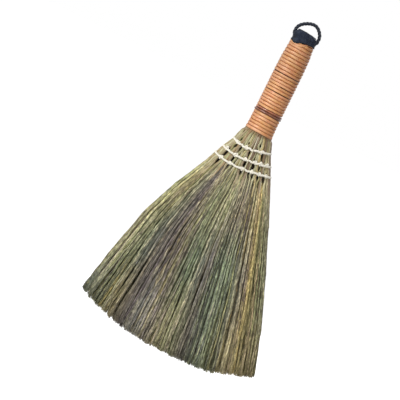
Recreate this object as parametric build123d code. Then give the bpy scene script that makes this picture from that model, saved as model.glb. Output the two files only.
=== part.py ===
from build123d import *
import math
import os
import random

# A desk broom: straw bundles stitched into a flat fan, their stalks bound into a round handle,
# cane wound over the handle, and a cloth cap that holds a cord loop to hang it by.
# Lengths are in millimetres. The origin is where a hook bears on the inside of the loop. +Z is up
# along the handle, the fan spreads along X, and the front of the broom looks along -Y.

# Clearances
seat_gap = 0.2           # between a piece and what it lies on
turn_gap = 0.43          # between two turns of a winding
pivot_gap = 0.08         # round the cord that turns in the cap's tunnel
overrun = 2.0            # how far a cutting solid runs past what it cuts

# Hanging loop, a closed ring of cord: an arch outside the cap and a straight run through it
loop_cord_d = 2.8
loop_bend_r = 10.7       # middle of the cord, at the arch
loop_swing_deg = 45.0    # how far the loop leans to the front or the back
loop_cord_sides = 8

# Cloth cap over the end of the handle
cap_rise = 2.7           # crown above the middle of the loop's straight run
cap_crown_r = 8.3
cap_shoulder_r = 11.45
cap_skirt_wall = 0.45
cap_hem_depth = 10.9     # crown to the middle of the hem
cap_hem_tilt_deg = 7.3   # the hem is lower on the left
cap_web = 0.7            # cloth under the loop's straight run

# Cane wound round the handle, in strips that follow one another round a single screw line
cane_d = 2.3
band_cane_d = 1.5        # the dark strip is thinner
band_proud = 0.4         # how far it stands out past the winding beside it
band_pitch = 2.1
lower_pitch = 2.85
middle_pitch = 2.73
upper_pitch = 2.79
top_pitch = 3.07
lower_turns = 6
band_turns = 1.7
middle_turns = 6.3
upper_turns = 6
top_turns = 10.1
strip_join_gap = 0.35    # from one strip's end to the start of the next
start_turn = 0.5         # the winding starts at the back
cane_sides = 6

# Outside of the winding
grip_r = 12.3            # along the middle of the handle
grip_base_r = 13.0       # at its lower end
grip_top_r = 10.2        # under the cap
grip_base_share = 0.15   # the part of its length over which the lower end widens
grip_top_share = 0.5     # and the part over which the upper end narrows
grip_base_power = 2
grip_top_power = 4

# Stalks inside the handle
stalk_r = 1.5
stalk_sides = 8
stalk_rings = (1, 6, 12)   # how many stand in each ring, from the middle out
stalk_bend_share = 0.83  # the place along the handle where they bend in towards the cap

# Wire that binds the stalks under the winding, and thread that binds their ends under the cap
wire_d = 0.8
wire_turns = 3
wire_height_shares = (0.07, 0.5)   # their places along the handle
thread_d = 0.8
thread_turns = 2.3
binding_sides = 4

# Straw fan
fan_length = 203.7       # mouth of the handle to the longest tips
fan_half_width = 87.0
fan_lean = 6.6           # how far the tips' middle lies to the right
neck_half_thickness = 7.7
tip_half_thickness = 10.0
neck_length = 40.0       # where the stalks end and the loose straws begin
trim_r = 225.0           # the tips are cut to an arc
trim_unevenness = 1.6
mouth_flare_depth = 1.5
# How far the fan has spread at shares of its length, from the mouth's radius to the full half width
spread_depth_shares = (0.0, 0.007, 0.057, 0.125, 0.194, 0.34, 0.5, 0.7, 1.0)
spread_shares = (0.0, 0.045, 0.087, 0.18, 0.266, 0.448, 0.622, 0.796, 1.0)
lean_start_share = 0.5
# Section through the fan: a circle at the mouth, a flat slab with round edges at the tips
mouth_squareness = 2.0
tip_squareness = 3.6

# Bundles, side by side across the fan: where one meets the next, as shares of the half width
bundle_edge_shares = (-1.0, -0.79, -0.41, 0.01, 0.36, 0.64, 0.85, 1.0)
bundle_names = (
    "left_edge_bundle",
    "left_outer_bundle",
    "left_inner_bundle",
    "middle_bundle",
    "right_inner_bundle",
    "right_outer_bundle",
    "right_edge_bundle",
)
bundle_gap = 0.5
stalk_ridges = 3         # stalks that show across the front of a bundle's neck
ridge_depth_share = 0.13
neck_swell_share = 1.05  # the neck swells between two rows of stitching
end_inset_share = 0.99   # an edge bundle stops short of the outline's point

# Straws of the fan, in columns across a bundle and rows through its thickness
straw_columns = 70       # across the whole fan
straw_rows = 5
straw_fill_share = 0.74  # width of a straw in its own place
straw_stray_share = 0.11 # how far it strays in its place
straw_root = 2.0         # how far the straws reach into the neck
straw_level_shares = (0.37, 0.66)
random_seed = 11

# Stitching, three rows of twine round the neck, each tied through between the bundles
twine_d = 1.3
knot_d = 1.9
row_depths = (11.3, 21.2, 29.4)
row_names = ("upper_stitch_row", "middle_stitch_row", "lower_stitch_row")
row_bow = 3.4            # the middle of a row hangs this much lower
row_slant = 0.8          # the right end of a row lies this much higher than the left
row_points = 12
twine_sides = 6
tie_room = 0.35          # between a tie and the bundles beside it

# Heights
pivot_z = loop_cord_d / 2 - loop_bend_r
crown_z = pivot_z + cap_rise
hem_z = crown_z - cap_hem_depth
tunnel_r = loop_cord_d / 2 + pivot_gap
ceiling_z = pivot_z - tunnel_r - cap_web
stalk_top_z = ceiling_z - seat_gap
hem_rise = cap_shoulder_r * math.tan(math.radians(cap_hem_tilt_deg))
wire_pitch = wire_d + turn_gap
thread_pitch = thread_d + turn_gap
thread_foot_z = stalk_top_z - thread_turns * thread_pitch - thread_d
grip_top_z = thread_foot_z - seat_gap
handle_strips = (
    ("lower_cane_winding", lower_turns, lower_pitch, cane_d),
    ("dark_cane_band", band_turns, band_pitch, band_cane_d),
    ("middle_cane_winding", middle_turns, middle_pitch, cane_d),
    ("upper_cane_winding", upper_turns, upper_pitch, cane_d),
    ("top_cane_winding", top_turns, top_pitch, cane_d),
)
grip_length = sum(turns * pitch for _, turns, pitch, _ in handle_strips) + cane_d
mouth_z = grip_top_z - grip_length
mouth_r = grip_base_r - cane_d - seat_gap


def between(value, places, results):
    """The result at a value, on straight lines from one place to the next."""
    for low, high, first, last in zip(places, places[1:], results, results[1:]):
        if value <= high or high == places[-1]:
            return first + (last - first) * (value - low) / (high - low)


def grip_radius(z):
    """Outside radius of the winding at a height."""
    share = min(1.0, max(0.0, (z - mouth_z) / grip_length))
    below = max(0.0, 1 - share / grip_base_share)
    above = max(0.0, 1 - (1 - share) / grip_top_share)
    widened = (grip_base_r - grip_r) * below**grip_base_power
    return grip_r + widened - (grip_r - grip_top_r) * above**grip_top_power


def stalk_reach(z):
    """Outside radius of the bound stalks at a height, as the winding leaves room for."""
    return grip_radius(z) - cane_d - seat_gap


def biarc(start, leaving, end, arriving):
    """Two arcs that leave start in one direction and reach end in another."""
    chord = end - start
    along = chord.dot(leaving + arriving)
    bend = 1 - leaving.dot(arriving)
    square = chord.dot(chord)
    if along > 0:
        reach = square / (along + math.sqrt(along**2 + 2 * bend * square))
    else:
        reach = (math.sqrt(along**2 + 2 * bend * square) - along) / (2 * bend)
    first = start + leaving * reach
    last = end - arriving * reach
    joint = (first + last) / 2
    return [
        Edge.make_tangent_arc(start, leaving, joint),
        Edge.make_tangent_arc(joint, last - first, end),
    ]


def arc_chain(points, directions):
    """A smooth wire of arcs through points, with the given directions there."""
    edges = []
    for start, end, leaving, arriving in zip(points, points[1:], directions, directions[1:]):
        edges += biarc(start, leaving, end, arriving)
    return Wire(edges)


def tube(path, start, direction, diameter, sides):
    """A many-sided tube along a path of arcs."""
    section = Plane(origin=start, z_dir=direction) * RegularPolygon(diameter / 2, sides)
    return sweep(section, path=path).solid()


def screw_line(radius_at, foot_z, pitch, first_turn):
    """A left-hand screw line, as a function of how many turns have been wound from foot_z."""
    def place(turn):
        z = foot_z + pitch * turn
        angle = math.tau * (first_turn + turn)
        radius = radius_at(z)
        return Vector(-radius * math.sin(angle), -radius * math.cos(angle), z)

    return place


def least_gap(place, turns, diameter):
    """The least gap between the turns of a winding, measured on points along its middle."""
    steps = 24
    points = [place(i / steps) for i in range(int(turns * steps) + 1)]
    nearest = math.inf
    for i, point in enumerate(points):
        for other in points[i + steps // 2 :]:
            nearest = min(nearest, (point - other).length)
    return nearest - diameter


def winding(name, place, turns, diameter, sides):
    """One unbroken strip, swept along arcs that each cover a quarter of a turn."""
    steps = math.ceil(2 * turns)
    marks = [turns * i / steps for i in range(steps + 1)]
    nudge_share = 0.001
    points = [place(mark) for mark in marks]
    directions = []
    for mark in marks:
        directions.append((place(mark + nudge_share) - place(mark - nudge_share)).normalized())
    gap = least_gap(place, turns, diameter)
    print(f"{name}: least gap between its turns {gap:.2f} mm")
    return tube(arc_chain(points, directions), points[0], directions[0], diameter, sides)


def wound_handle():
    """The strips of the handle's winding from the mouth up, by name."""
    made = {}
    foot_z = mouth_z + cane_d / 2
    first_turn = start_turn
    for name, turns, pitch, diameter in handle_strips:
        proud = band_proud if diameter == band_cane_d else 0

        def middle(z):
            return grip_radius(z) + proud - diameter / 2

        place = screw_line(middle, foot_z, pitch, first_turn)
        wound = turns - strip_join_gap / (math.tau * grip_r)
        made[name] = winding(name, place, wound, diameter, cane_sides)
        foot_z += turns * pitch
        first_turn += turns
    return made


def wire_heights():
    """The heights between which each binding wire lies."""
    half = (wire_turns * wire_pitch + wire_d) / 2
    middles = [mouth_z + share * grip_length for share in wire_height_shares]
    return [(middle - half, middle + half) for middle in middles]


def stalk_levels():
    """Heights of a stalk's sections from the mouth up, and how far the wire draws it in there."""
    drawn_in = wire_d + seat_gap
    levels = [(mouth_z, 0)]
    for low, high in wire_heights():
        levels += [(low - seat_gap, drawn_in), (high + seat_gap, drawn_in)]
    levels += [(mouth_z + stalk_bend_share * grip_length, 0), (grip_top_z, 0), (stalk_top_z, 0)]
    return levels


def stalk_section(ring, angle, z, drawn_in):
    """Section of one stalk at a height."""
    outermost = stalk_reach(z) - drawn_in - stalk_r
    away = outermost * ring / (len(stalk_rings) - 1)
    where = Plane(origin=(away * math.cos(angle), away * math.sin(angle), z))
    return (where * RegularPolygon(stalk_r, stalk_sides)).face()


def stalks():
    """The stalks bound inside the handle, one in the middle and two rings round it."""
    made = []
    for ring, count in enumerate(stalk_rings):
        for i in range(count):
            angle = math.tau * i / count
            sections = [stalk_section(ring, angle, *level) for level in stalk_levels()]
            made.append(loft(sections, ruled=True).solid())
    return Compound(children=made)


def binding(name, low_z, turns, diameter, drawn_in):
    """Wire or thread wound round the stalks, its lower edge at low_z."""
    def middle(z):
        return stalk_reach(z) - drawn_in + seat_gap / 2 + diameter / 2

    place = screw_line(middle, low_z + diameter / 2, diameter + turn_gap, start_turn)
    return winding(name, place, turns, diameter, binding_sides)


def hanging_loop():
    """The closed ring of cord: the arch over the cap and the straight run through it."""
    start = Vector(loop_bend_r, 0, pivot_z)
    crest = Vector(0, 0, pivot_z + loop_bend_r)
    arch = Wire([Edge.make_three_point_arc(start, crest, Vector(-start.X, 0, start.Z))])
    ring = tube(arch, start, (0, 0, 1), loop_cord_d, loop_cord_sides)
    run_length = 2 * loop_bend_r + loop_cord_d
    run = Pos(0, 0, pivot_z) * Rot(0, 90, 0) * Cylinder(loop_cord_d / 2, run_length)
    return ring.fuse(run).solid()


def cap_shell():
    """The cap turned about the handle's axis, open below, before its hem is cut."""
    foot_z = hem_z - hem_rise - overrun
    bore_r = grip_radius(hem_z - hem_rise) + seat_gap
    edge_r = cap_shoulder_r - cap_crown_r
    with BuildPart() as turned:
        with BuildSketch(Plane.XZ):
            with BuildLine():
                rim = CenterArc((cap_crown_r, crown_z - edge_r), edge_r, 0, 90)
                Polyline(
                    rim @ 1,
                    (0, crown_z),
                    (0, ceiling_z),
                    (bore_r, ceiling_z),
                    (bore_r, foot_z),
                    (bore_r + cap_skirt_wall, foot_z),
                    rim @ 0,
                )
            make_face()
        revolve(axis=Axis.Z)
    return turned.part


def end_cap():
    """The cloth cap: a skirt over the stalk ends and a crown with a tunnel for the loop."""
    cap = cap_shell()
    across = 2 * (cap_shoulder_r + overrun)
    # The hem is cut by a slanting plane, lower on the left
    hem = Plane(origin=(0, 0, hem_z)).rotated((0, -cap_hem_tilt_deg, 0))
    cap -= extrude(hem * Rectangle(across, across), amount=-across)
    # The tunnel, and a notch at each end where the loop swings
    cap -= Pos(0, 0, pivot_z) * Rot(0, 90, 0) * Cylinder(tunnel_r, across)
    swing = math.radians(loop_swing_deg)
    loop_inner_r = loop_bend_r - loop_cord_d / 2
    notch_in = math.sqrt(loop_inner_r**2 - (cap_rise / math.cos(swing)) ** 2) - seat_gap
    notch_low = pivot_z - loop_cord_d / 2 - seat_gap
    notch_high = crown_z + overrun
    notch_half = cap_rise * math.tan(swing) + loop_cord_d / 2 / math.cos(swing) + seat_gap
    size = (across / 2 - notch_in, 2 * notch_half, notch_high - notch_low)
    for side in (-1, 1):
        place = (side * (notch_in + size[0] / 2), 0, (notch_low + notch_high) / 2)
        cap -= Pos(*place) * Box(*size)
    return cap.solid()


def fan_half(depth):
    """Half width of the fan at a depth below the mouth."""
    share = depth / fan_length
    return mouth_r + (fan_half_width - mouth_r) * between(share, spread_depth_shares, spread_shares)


def fan_middle(depth):
    """How far the fan's middle has leant to the right at a depth."""
    share = max(0.0, depth / fan_length - lean_start_share) / (1 - lean_start_share)
    return fan_lean * share


def fan_half_depth(share, depth):
    """Half thickness of the fan at a share of its half width."""
    if depth < neck_length:
        full = mouth_r + (neck_half_thickness - mouth_r) * depth / neck_length
    else:
        rest = (depth - neck_length) / (fan_length - neck_length)
        full = neck_half_thickness + (tip_half_thickness - neck_half_thickness) * rest
    power = mouth_squareness + (tip_squareness - mouth_squareness) * depth / fan_length
    return full * (1 - min(1.0, abs(share)) ** power) ** (1 / power)


def fan_point(share, front_share, depth):
    """A point of the fan: across it, through its thickness, and at a depth below the mouth."""
    x = fan_middle(depth) + share * fan_half(depth)
    return Vector(x, front_share * fan_half_depth(share, depth), mouth_z - depth)


def row_depth(row, share):
    """Depth of a stitch row below the mouth at a share of the fan's half width."""
    return row_depths[row] + row_bow * (1 - share**2) - row_slant / 2 * share


def neck_section(low, high, depth, gap, swell):
    """Outline of one bundle's neck: ridges of stalks on the front and on the back."""
    half = fan_half(depth)
    first = max(low + gap / 2 / half, -end_inset_share)
    last = min(high - gap / 2 / half, end_inset_share)
    steps = 2 * stalk_ridges
    front = []
    back = []
    for i in range(steps + 1):
        share = first + (last - first) * i / steps
        ridge = 1 if i % 2 else 1 - ridge_depth_share
        front.append(fan_point(share, -ridge * swell, depth))
        back.append(fan_point(share, ridge * swell, depth))
    return Wire.make_polygon(front + back[::-1], close=True)


def neck_levels(low, high):
    """Depths of a bundle's neck sections, with the gap beside it and its swelling there."""
    middle = (low + high) / 2
    tie_gap = twine_d + 2 * tie_room
    rows = [row_depth(row, middle) for row in range(len(row_depths))]
    levels = [(0, seat_gap, 1), (mouth_flare_depth, bundle_gap, 1)]
    before = mouth_flare_depth
    for depth in rows:
        levels.append(((before + depth) / 2, (bundle_gap + tie_gap) / 2, neck_swell_share))
        levels.append((depth, tie_gap, 1))
        before = depth
    levels.append((max(neck_length, before + knot_d), bundle_gap, 1))
    return levels


def bundle_neck(low, high):
    """The stalks of one bundle, from the mouth of the handle to below the stitching."""
    sections = [neck_section(low, high, *level) for level in neck_levels(low, high)]
    return Solid.make_loft(sections, ruled=True)


def tip_depth(x, chance):
    """Depth at which the fan is trimmed, on an arc about the fan's lean, a little uneven."""
    sag = trim_r - math.sqrt(trim_r**2 - (x - 2 * fan_lean) ** 2)
    return fan_length - sag - trim_unevenness * chance.random()


def straw_section(share, front_share, depth, turned):
    """A three-sided section of one straw, as large as its place in the fan allows."""
    here = fan_point(share, front_share, depth)
    across = 2 * fan_half(depth) / straw_columns
    through = 2 * fan_half_depth(share, depth) / straw_rows
    radius = straw_fill_share * min(across, through) / math.sqrt(3)
    corners = []
    for i in range(3):
        angle = math.tau * i / 3 + turned
        corners.append(here + Vector(radius * math.cos(angle), radius * math.sin(angle), 0))
    return Wire.make_polygon(corners, close=True)


def straws(low, high, chance):
    """The loose straws of one bundle, none of which crosses another."""
    made = []
    root = neck_levels(low, high)[-1][0] - straw_root
    first = max(low, -end_inset_share)
    last = min(high, end_inset_share)
    columns = round(straw_columns * (high - low) / 2)
    for column in range(columns):
        for row in range(straw_rows):
            stray = straw_stray_share * (2 * chance.random() - 1)
            share = first + (last - first) * (column + 1 / 2 + stray) / columns
            stray = straw_stray_share * (2 * chance.random() - 1)
            front_share = 2 * (row + 1 / 2 + stray) / straw_rows - 1
            turned = math.pi * ((row + column) % 2) + math.pi / 2
            tip = tip_depth(fan_point(share, front_share, fan_length).X, chance)
            depths = [root] + [fan_length * level for level in straw_level_shares] + [tip]
            sections = [straw_section(share, front_share, depth, turned) for depth in depths]
            made.append(Solid.make_loft(sections, ruled=True))
    return made


def straw_bundle(low, high, chance):
    """One bundle: its stitched neck and its straws, in one fuse."""
    return bundle_neck(low, high).fuse(*straws(low, high, chance)).solid()


def row_outline(row):
    """Points on the middle of a row's twine, once round the neck, starting on the left."""
    reach = seat_gap + twine_d / 2
    outline = []
    for i in range(row_points):
        angle = math.tau * i / row_points
        share = -math.cos(angle)
        depth = row_depth(row, share)
        point = fan_point(share, -math.copysign(1, math.sin(angle)), depth)
        outward = Vector(point.X / fan_half(depth), point.Y / fan_half_depth(0, depth), 0)
        outline.append(point + outward.normalized() * reach)
    return outline


def stitch_row(row):
    """A row of twine round the neck, tied through between the bundles."""
    outline = row_outline(row)
    directions = []
    for i, point in enumerate(outline):
        following = outline[(i + 1) % row_points]
        directions.append((following - outline[i - 1]).normalized())
    path = arc_chain(outline + outline[:1], directions + directions[:1])
    twine = tube(path, outline[0], directions[0], twine_d, twine_sides)
    tied = []
    for share in bundle_edge_shares[1:-1]:
        depth = row_depth(row, share)
        surface = fan_half_depth(share, depth)
        reach = surface + seat_gap + twine_d / 2
        middle = Pos(share * fan_half(depth), 0, mouth_z - depth) * Rot(90, 0, 0)
        tied.append(middle * extrude(RegularPolygon(twine_d / 2, twine_sides), reach, both=True))
        for side in (-1, 1):
            knot = extrude(RegularPolygon(knot_d / 2, twine_sides), knot_d / 2, both=True)
            tied.append(middle * Pos(0, 0, side * (surface + seat_gap + knot_d / 2)) * knot)
    return twine.fuse(*tied).solid()


def broom():
    """Every piece by its node's name."""
    parts = wound_handle()
    parts["handle_stalks"] = stalks()
    drawn_in = wire_d + seat_gap
    for name, (low_z, _) in zip(("neck_wire", "handle_wire"), wire_heights()):
        parts[name] = binding(name, low_z, wire_turns, wire_d, drawn_in)
    parts["end_thread"] = binding("end_thread", thread_foot_z, thread_turns, thread_d, 0)
    parts["end_cap"] = end_cap()
    parts["hanging_loop"] = hanging_loop()
    chance = random.Random(random_seed)
    for name, low, high in zip(bundle_names, bundle_edge_shares, bundle_edge_shares[1:]):
        parts[name] = straw_bundle(low, high, chance)
    for row, name in enumerate(row_names):
        parts[name] = stitch_row(row)
    return parts


os.makedirs("parts", exist_ok=True)
for name, shape in broom().items():
    export_step(shape, f"parts/{name}.step")
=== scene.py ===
# %% [markdown]
# # A small hand broom, dressed for its picture
# The construction of this broom is finished before this lesson starts: every piece has its real
# size and place in a frame that is loaded here and never changed. What is left is the look: fine
# straw, glossy cane, twisted twine and dark cloth. All lengths are in metres. The origin is where
# a hook bears on the inside of the hanging loop, +Z runs up the handle, and the front looks
# along -Y.
# %% Load the frame
import math

import bpy
import numpy as np
from mathutils import Matrix, Vector


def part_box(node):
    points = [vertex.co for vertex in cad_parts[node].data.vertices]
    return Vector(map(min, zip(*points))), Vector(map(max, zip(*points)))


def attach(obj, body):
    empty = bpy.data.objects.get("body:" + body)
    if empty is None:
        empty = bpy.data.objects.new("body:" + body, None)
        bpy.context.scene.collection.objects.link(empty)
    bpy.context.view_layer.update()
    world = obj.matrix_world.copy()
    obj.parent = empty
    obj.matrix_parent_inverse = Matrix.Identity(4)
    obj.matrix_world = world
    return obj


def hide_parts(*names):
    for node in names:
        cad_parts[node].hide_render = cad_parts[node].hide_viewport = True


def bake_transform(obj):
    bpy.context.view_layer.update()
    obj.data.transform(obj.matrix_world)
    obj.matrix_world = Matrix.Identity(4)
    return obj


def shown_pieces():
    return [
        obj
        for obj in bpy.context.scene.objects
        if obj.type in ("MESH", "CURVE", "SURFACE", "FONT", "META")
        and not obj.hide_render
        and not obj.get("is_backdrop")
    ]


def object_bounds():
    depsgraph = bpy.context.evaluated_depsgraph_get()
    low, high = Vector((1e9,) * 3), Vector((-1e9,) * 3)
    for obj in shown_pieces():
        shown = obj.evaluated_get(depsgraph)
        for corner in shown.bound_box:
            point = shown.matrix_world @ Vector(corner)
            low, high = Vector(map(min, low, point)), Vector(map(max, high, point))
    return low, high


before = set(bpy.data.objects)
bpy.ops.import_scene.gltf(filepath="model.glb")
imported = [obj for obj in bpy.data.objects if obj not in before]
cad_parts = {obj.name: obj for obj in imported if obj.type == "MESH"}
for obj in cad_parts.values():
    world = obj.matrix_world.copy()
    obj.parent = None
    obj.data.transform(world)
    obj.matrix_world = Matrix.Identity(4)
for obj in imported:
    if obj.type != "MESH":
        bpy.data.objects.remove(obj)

mm = 0.001
cad_low, cad_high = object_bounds()
print("pieces in the frame:", len(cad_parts))
print("its box in mm:", [round(c / mm, 1) for c in (*cad_low, *cad_high)])

# %% [markdown]
# ## Sizes that the pieces share
# Most sizes can be read from the boxes of the pieces in the frame: the mouth of the handle, where
# the straw comes out, is the lowest point of the lower winding, and the tips are the lowest point
# of all. The shape of the fan's two edges and of its cut end is written down as a few points,
# because a box doesn't know it. A designer would draw the same points on paper and pull a smooth
# line through them.
# %% Measure the frame
mouth_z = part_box("lower_cane_winding")[0].z
grip_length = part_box("top_cane_winding")[1].z - mouth_z
crown_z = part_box("end_cap")[1].z
tips_z = cad_low.z
fan_length = mouth_z - tips_z
mouth_r = 10.5 * mm
neck_half_thickness = 7.7 * mm
tip_half_thickness = 10 * mm
neck_length = 40 * mm

edge_depths = np.array((-10, 0, 1.5, 11.7, 25.5, 39.5, 69, 102, 143, 184, 212)) * mm
left_edge = np.array((10.5, 11.6, 13.4, 16.6, 23.7, 29.7, 45.0, 58.3, 68.8, 77.3, 81.0)) * mm
right_edge = np.array((10.5, 11.6, 13.4, 17.2, 24.0, 30.6, 44.4, 58.2, 74.4, 87.6, 95.5)) * mm
trim_places = np.array((-86, -72, -58, -45, -31, -17, -3, 10, 24, 38, 52, 59, 65, 72, 79, 86,
                        96)) * mm
trim_depths = np.array((181, 187.5, 192.9, 197, 200, 201.7, 203, 203.6, 203.2, 202.9, 202, 199.9,
                        197.4, 195.2, 193.6, 191.4, 188)) * mm
print(f"mouth at {mouth_z / mm:.1f} mm, fan {fan_length / mm:.1f} mm long")


# %% The outline of the fan
def unit(value):
    """A value held between 0 and 1."""
    return np.clip(value, 0, 1)


def bell(value, middle=0.0, width=1.0):
    """1 at a middle, falling off softly to both sides."""
    return np.exp(-(((value - middle) / width) ** 2))


def smoothed(place, steps, places, sizes):
    """What a table says at a place, averaged over small steps to both sides."""
    return sum(np.interp(place + step, places, sizes) for step in steps) / len(steps)


def edge_reach(edge, depth):
    """How far an edge of the fan lies from the middle at depths below the mouth."""
    below = unit(depth / neck_length)
    return smoothed(depth, [step * mm * below for step in (-4, -2, 0, 2, 4)], edge_depths, edge)


def across(share, depth):
    """X at a share across the fan, from -1 at its left edge to 1 at its right."""
    left = -edge_reach(left_edge, depth)
    return left + (edge_reach(right_edge, depth) - left) * (share + 1) / 2


def half_thickness(share, depth):
    """Half thickness of the fan: round at the mouth, a slab with soft edges at the tips."""
    rest = unit((depth - neck_length) / (fan_length - neck_length))
    full = mouth_r + (neck_half_thickness - mouth_r) * unit(depth / neck_length)
    full = full + (tip_half_thickness - neck_half_thickness) * rest
    power = 2 + 1.6 * unit(depth / fan_length)
    return full * (1 - np.minimum(1, np.abs(share)) ** power) ** (1 / power)


def trim_depth(x):
    """Depth at which the straw was cut: nearly level, and higher at both corners."""
    return smoothed(x, [step * mm for step in (-6, -2, 2, 6)], trim_places, trim_depths)


print("half width at the tips:", round(float(across(1, fan_length)) / mm, 1), "mm")

# %% [markdown]
# ## The camera
# The picture was taken with a long lens from the front, a little above the middle of the broom,
# and the broom lies tilted in it with its handle up and to the right. Turning the camera about
# its own axis tilts the picture and leaves the broom upright in its frame, which is what the
# other pieces of this lesson need.
# %% Camera
picture_width = 344 * mm
camera_lens = 300.0
sensor = 36.0
lift = math.radians(3.0)
roll = math.radians(26.3)
aim = Vector((-19.5, 0, -176.3)) * mm

away = Vector((0, -math.cos(lift), math.sin(lift)))
level_up = Vector((0, math.sin(lift), math.cos(lift)))
right = Vector((1, 0, 0)) * math.cos(roll) + level_up * math.sin(roll)
up = level_up * math.cos(roll) - Vector((1, 0, 0)) * math.sin(roll)
turned = Matrix((right, up, away)).transposed().to_4x4()
distance = picture_width * camera_lens / sensor

camera_data = bpy.data.cameras.new("camera")
camera_data.lens = camera_lens
camera_data.sensor_width = sensor
camera = bpy.data.objects.new("camera", camera_data)
bpy.context.scene.collection.objects.link(camera)
camera.matrix_world = Matrix.Translation(aim + away * distance) @ turned
bpy.context.scene.camera = camera
bpy.context.scene.view_settings.view_transform = "Standard"
print(f"camera {distance:.2f} m away")


# %% [markdown]
# ## Small tools
# A few helpers keep the later cells short. The first leaves one object selected, because an
# operator works on everything that is selected. The next ones open an object for editing, apply
# a modifier, join pieces, and read or move the points of a mesh. The shader helpers take values
# or the sockets of other nodes, and give back the socket that carries the result.
# %% Helpers for pieces
def only(piece):
    """Leaves one object selected and active."""
    if bpy.context.mode != "OBJECT":
        bpy.ops.object.mode_set(mode="OBJECT")
    bpy.ops.object.select_all(action="DESELECT")
    piece.select_set(True)
    bpy.context.view_layer.objects.active = piece
    return piece


def edit(piece):
    """Opens one object for editing, with all of it selected."""
    only(piece)
    bpy.ops.object.mode_set(mode="EDIT")
    bpy.ops.mesh.select_all(action="SELECT")


def modified(piece, kind, **settings):
    """Adds a modifier with its settings to an object and applies it."""
    added = only(piece).modifiers.new(kind.lower(), kind)
    for name, value in settings.items():
        setattr(added, name, value)
    bpy.ops.object.modifier_apply(modifier=added.name)


def joined(pieces):
    """Joins pieces into the first of them and shades it smooth."""
    only(pieces[0])
    for piece in pieces[1:]:
        piece.select_set(True)
    bpy.ops.object.join()
    bpy.ops.object.shade_smooth()
    return bpy.context.object


def points_of(mesh):
    """Where the points of a mesh are."""
    return np.array([v.co for v in mesh.vertices])


def place_points(mesh, points):
    """Puts the points of a mesh in their places."""
    mesh.vertices.foreach_set("co", points.astype(np.float32).ravel())


# %% Helpers for shader nodes
def node(tree, kind, sockets=None, **settings):
    """A shader node, with its sockets set to values or linked to other sockets."""
    made = tree.nodes.new(kind)
    for name, value in settings.items():
        setattr(made, name, value)
    for name, value in (sockets or {}).items():
        if isinstance(value, bpy.types.NodeSocket):
            tree.links.new(value, made.inputs[name])
        else:
            made.inputs[name].default_value = value
    return made


def mixed(tree, factor, first, second, mode="MIX"):
    """The colour of a Mix node."""
    sockets = {0: factor, 6: first, 7: second}
    return node(tree, "ShaderNodeMix", sockets, data_type="RGBA", blend_type=mode).outputs[2]


def tinted(tree, colour, *factors):
    """A colour multiplied by other colours or values."""
    for factor in factors:
        colour = mixed(tree, 1.0, colour, factor, mode="MULTIPLY")
    return colour


def computed(tree, operation, *values, clamp=False):
    """The value of a Math node."""
    sockets = dict(enumerate(values))
    return node(tree, "ShaderNodeMath", sockets, operation=operation, use_clamp=clamp).outputs[0]


def spread(tree, value, low, high, to_low=0.0, to_high=1.0):
    """A value carried from one range to another."""
    sockets = {"Value": value, "From Min": low, "From Max": high, "To Min": to_low,
               "To Max": to_high}
    return node(tree, "ShaderNodeMapRange", sockets).outputs[0]


def ramp(tree, factor, *stops):
    """The colour of a Color Ramp, with stops of (place, colour)."""
    made = node(tree, "ShaderNodeValToRGB", {"Fac": factor})
    elements = made.color_ramp.elements
    elements[0].position, elements[0].color = stops[0]
    elements[1].position, elements[1].color = stops[-1]
    for place, colour in stops[1:-1]:
        elements.new(place).color = colour
    return made.outputs["Color"]


def noise(tree, place, scale=1.0, detail=3.0, roughness=0.5):
    """The value of a Noise Texture."""
    sockets = {"Vector": place, "Scale": scale, "Detail": detail, "Roughness": roughness}
    return node(tree, "ShaderNodeTexNoise", sockets).outputs["Fac"]


def object_place(tree):
    """Where a point lies on its own object."""
    return node(tree, "ShaderNodeTexCoord").outputs["Object"]


def attribute(tree, name):
    """One of the piece's own attributes."""
    return node(tree, "ShaderNodeAttribute", attribute_name=name).outputs["Fac"]


def rgb(red, green, blue):
    """A colour as a picture program shows it, 0 to 255, turned into scene values."""
    def scene_value(part):
        part = part / 255
        return part / 12.92 if part <= 0.04045 else ((part + 0.055) / 1.055) ** 2.4

    return (scene_value(red), scene_value(green), scene_value(blue), 1)


def grey(value):
    return (value, value, value, 1)


# %% [markdown]
# ## Effects that several materials share
# Plant fibre, cloth and cord all need the same few effects: long grain lines, soft blotches and
# fine lint. Each is built once as a node group with named inputs and outputs, and every material
# places it with values of its own.
# %% Node groups
def new_group(name, outputs, **inputs):
    """An empty node group with float sockets, and what it is given and gives back."""
    group = bpy.data.node_groups.new(name, "ShaderNodeTree")
    for socket, value in inputs.items():
        made = group.interface.new_socket(socket, in_out="INPUT", socket_type="NodeSocketFloat")
        made.default_value = value
    for socket in outputs:
        group.interface.new_socket(socket, in_out="OUTPUT", socket_type="NodeSocketFloat")
    return group, node(group, "NodeGroupInput").outputs, node(group, "NodeGroupOutput").inputs


def grain_group():
    """Long lines along Z: noise that is squeezed across the fibres and stretched along them."""
    group, given, result = new_group("plant_grain", ("Shade", "Height"), Across=900.0, Along=30.0)
    scale = node(group, "ShaderNodeCombineXYZ",
                 {"X": given["Across"], "Y": given["Across"], "Z": given["Along"]})
    stretched = node(group, "ShaderNodeVectorMath",
                     {0: object_place(group), 1: scale.outputs[0]}, operation="MULTIPLY")
    lines = noise(group, stretched.outputs[0])
    group.links.new(lines, result["Shade"])
    group.links.new(computed(group, "POWER", lines, 2.0), result["Height"])
    return group


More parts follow.
